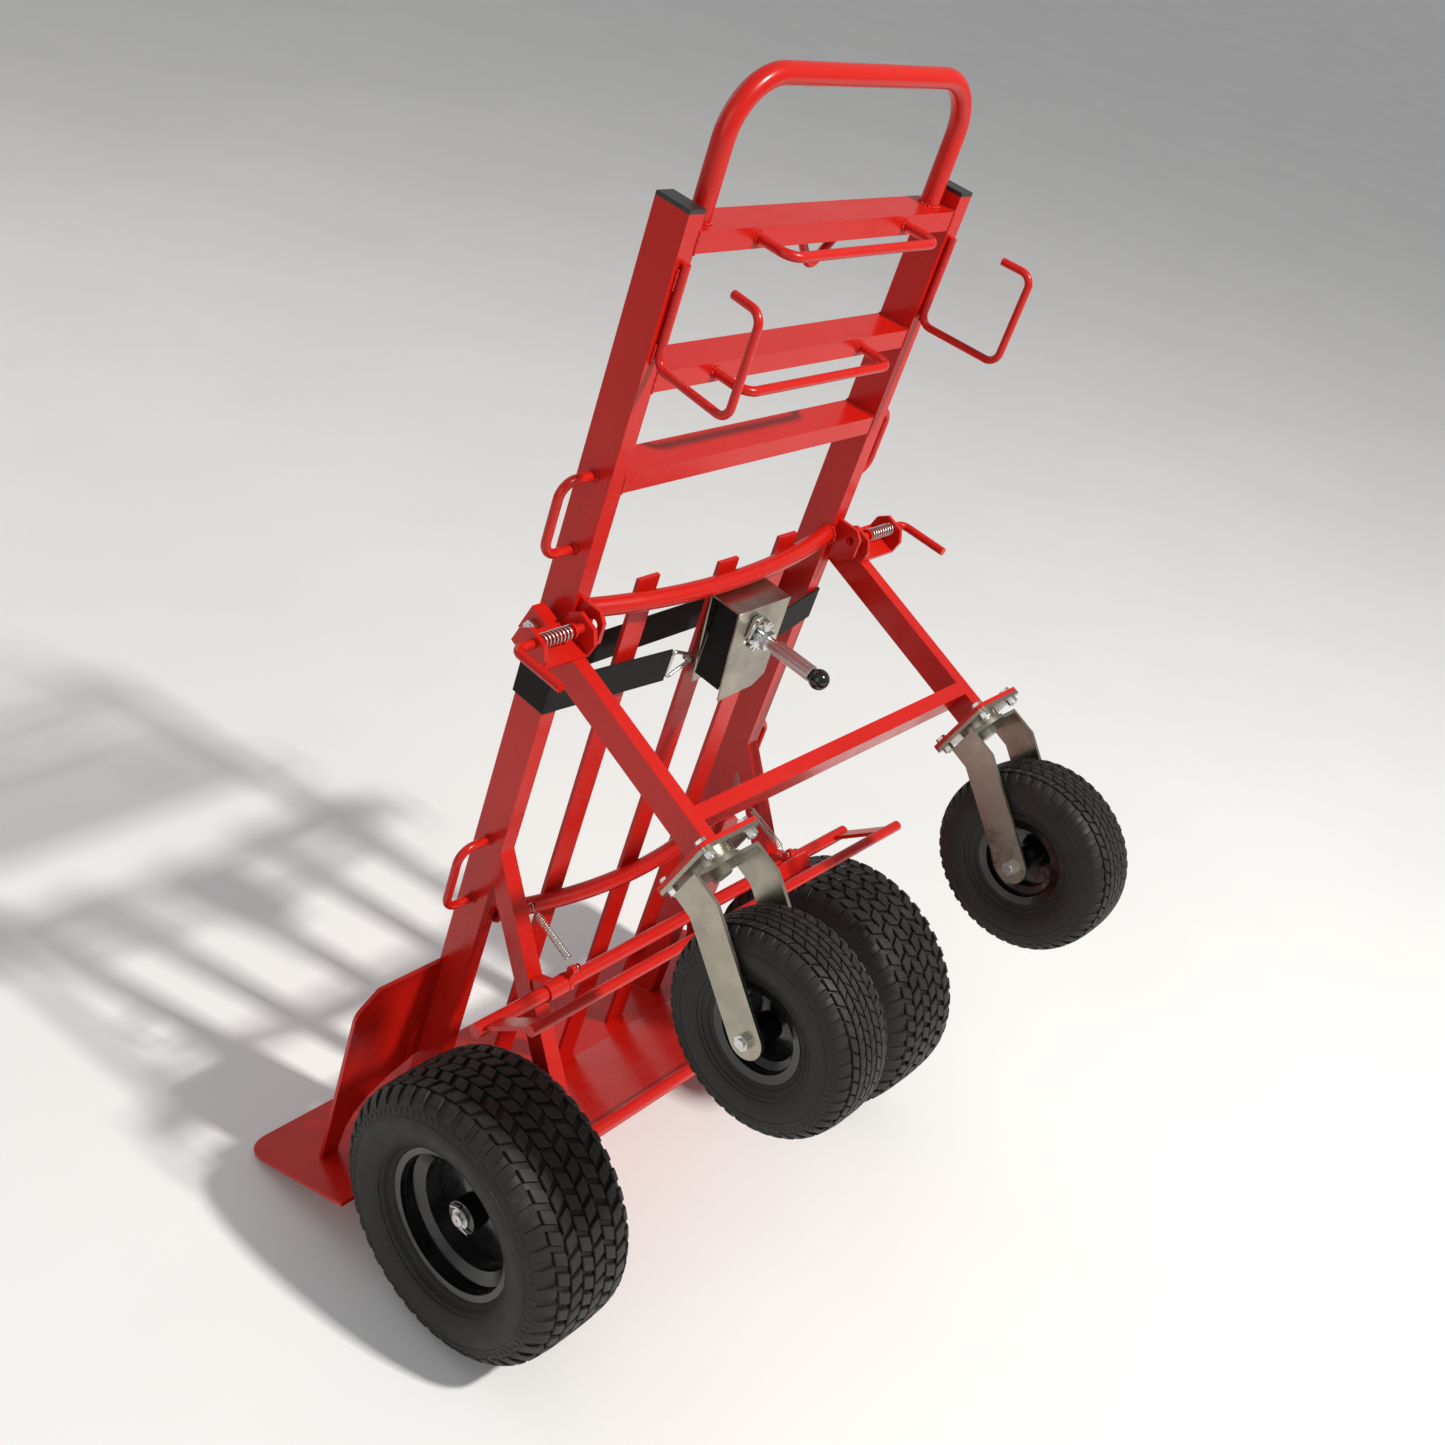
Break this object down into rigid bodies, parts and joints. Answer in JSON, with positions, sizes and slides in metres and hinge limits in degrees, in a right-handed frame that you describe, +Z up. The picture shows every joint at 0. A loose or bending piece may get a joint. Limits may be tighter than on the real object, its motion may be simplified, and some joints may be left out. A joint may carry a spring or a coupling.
{
  "type": "hand truck",
  "caption": "Convertible hand truck with a wide toe plate, pneumatic wheels, folding rear legs on swivel casters, a wheel brake and a strap winch.",
  "frame": {"origin": "on the floor, under the middle of the bounding box", "axes": "+Z up, +X to the operator's left, +Y rearwards towards the operator"},
  "size_m": [0.9498, 0.8198, 1.6391],
  "materials": {
    "red_paint": "gloss",
    "black_plastic": "satin",
    "zinc": "bright zinc plate",
    "zinc_sheet": "yellowed zinc plate",
    "tyre_rubber": "matte",
    "black_rim": "gloss black",
    "knob": "gloss",
    "webbing": "woven"
  },
  "bodies": {
    "frame": {"axle": "zinc", "axle_brackets": "red_paint", "axle_retainers": "zinc", "axle_spacers": "zinc", "bails": "red_paint", "brake_sleeves": "red_paint", "brake_springs": "zinc", "cord_hooks": "red_paint", "handle_loop": "red_paint", "leg_pivot_studs": "zinc", "lock_ears": "red_paint", "lower_cross_tube": "red_paint", "lower_crossbar": "red_paint", "middle_crossbar": "red_paint", "rail_caps": "black_plastic", "rail_left": "red_paint", "rail_right": "red_paint", "side_grips": "red_paint", "slats": "red_paint", "strap": "webbing", "strap_hook": "zinc", "struts": "red_paint", "toe_plate": "red_paint", "upper_cross_tube": "red_paint", "upper_crossbar": "red_paint", "wheel_guards": "red_paint", "winch_bracket": "zinc_sheet"},
    "wheel_left": {"tyre_left": "tyre_rubber", "rim_left": "black_rim"},
    "wheel_right": {"tyre_right": "tyre_rubber", "rim_right": "black_rim"},
    "brake": {"brake_pivot_bar": "red_paint", "brake_press_bar": "red_paint", "brake_links": "red_paint", "brake_pedal": "red_paint"},
    "rear_legs": {"leg_left": "red_paint", "leg_right": "red_paint", "leg_crossbar": "red_paint", "lock_channels": "red_paint", "caster_base_plates": "red_paint", "caster_top_plates": "zinc_sheet", "caster_bolts": "zinc", "lock_spring_left": "zinc", "lock_spring_right": "zinc"},
    "lock_pin_l": {"lock_pin_left": "red_paint"},
    "lock_pin_r": {"lock_pin_right": "red_paint"},
    "swivel_l": {"caster_fork_left": "zinc_sheet", "caster_axle_left": "zinc"},
    "caster_wheel_l": {"caster_tyre_left": "tyre_rubber", "caster_rim_left": "black_rim"},
    "swivel_r": {"caster_fork_right": "zinc_sheet", "caster_axle_right": "zinc"},
    "caster_wheel_r": {"caster_tyre_right": "tyre_rubber", "caster_rim_right": "black_rim"},
    "winch_drum": {"winch_shaft": "zinc", "strap_roll": "webbing", "ratchet_wheel": "zinc", "winch_handle": "zinc", "winch_knob": "knob"},
    "pawl": {"winch_pawl": "zinc"}
  },
  "joints": [
    {"name": "wheel_left_spin", "type": "hinge", "parent": "frame", "child": "wheel_left", "pos_m": [0.3865, -0.00319, 0.203], "axis": [1, 0, 0], "continuous": true},
    {"name": "wheel_right_spin", "type": "hinge", "parent": "frame", "child": "wheel_right", "pos_m": [-0.3865, -0.00319, 0.203], "axis": [1, 0, 0], "continuous": true},
    {"name": "brake_press", "type": "hinge", "parent": "frame", "child": "brake", "pos_m": [0, -0.06881, 0.46746], "axis": [-1, 0, 0], "range_deg": [0, 60], "stiffness_Nm_per_rad": 6, "springref_deg": -68.75, "deforming": ["brake_springs"]},
    {"name": "leg_fold", "type": "hinge", "parent": "frame", "child": "rear_legs", "pos_m": [0, -0.18395, 0.97286], "axis": [1, 0, 0], "range_deg": [0, 65]},
    {"name": "swivel_left", "type": "hinge", "parent": "rear_legs", "child": "swivel_l", "pos_m": [0.29, 0.18209, 0.81156], "axis": [0, 0.9151, -0.4033], "continuous": true},
    {"name": "caster_spin_left", "type": "hinge", "parent": "swivel_l", "child": "caster_wheel_l", "pos_m": [0.29, 0.27689, 0.69439], "axis": [1, 0, 0], "continuous": true},
    {"name": "lock_pull_left", "type": "slide", "parent": "rear_legs", "child": "lock_pin_l", "axis": [1, 0, 0], "range_m": [-0.015, 0], "deforming": ["lock_spring_left"]},
    {"name": "swivel_right", "type": "hinge", "parent": "rear_legs", "child": "swivel_r", "pos_m": [-0.29, 0.18209, 0.81156], "axis": [0, 0.9151, -0.4033], "continuous": true},
    {"name": "caster_spin_right", "type": "hinge", "parent": "swivel_r", "child": "caster_wheel_r", "pos_m": [-0.29, 0.27689, 0.69439], "axis": [1, 0, 0], "continuous": true},
    {"name": "lock_pull_right", "type": "slide", "parent": "rear_legs", "child": "lock_pin_r", "axis": [-1, 0, 0], "range_m": [-0.015, 0], "deforming": ["lock_spring_right"]},
    {"name": "drum_turn", "type": "hinge", "parent": "frame", "child": "winch_drum", "pos_m": [-0.027, -0.08293, 0.92764], "axis": [0, 0.9951, -0.099], "continuous": true},
    {"name": "pawl_lift", "type": "hinge", "parent": "frame", "child": "pawl", "pos_m": [-0.006, -0.08006, 0.9565], "axis": [0, -0.9951, 0.099], "range_deg": [0, 25]}
  ]
}
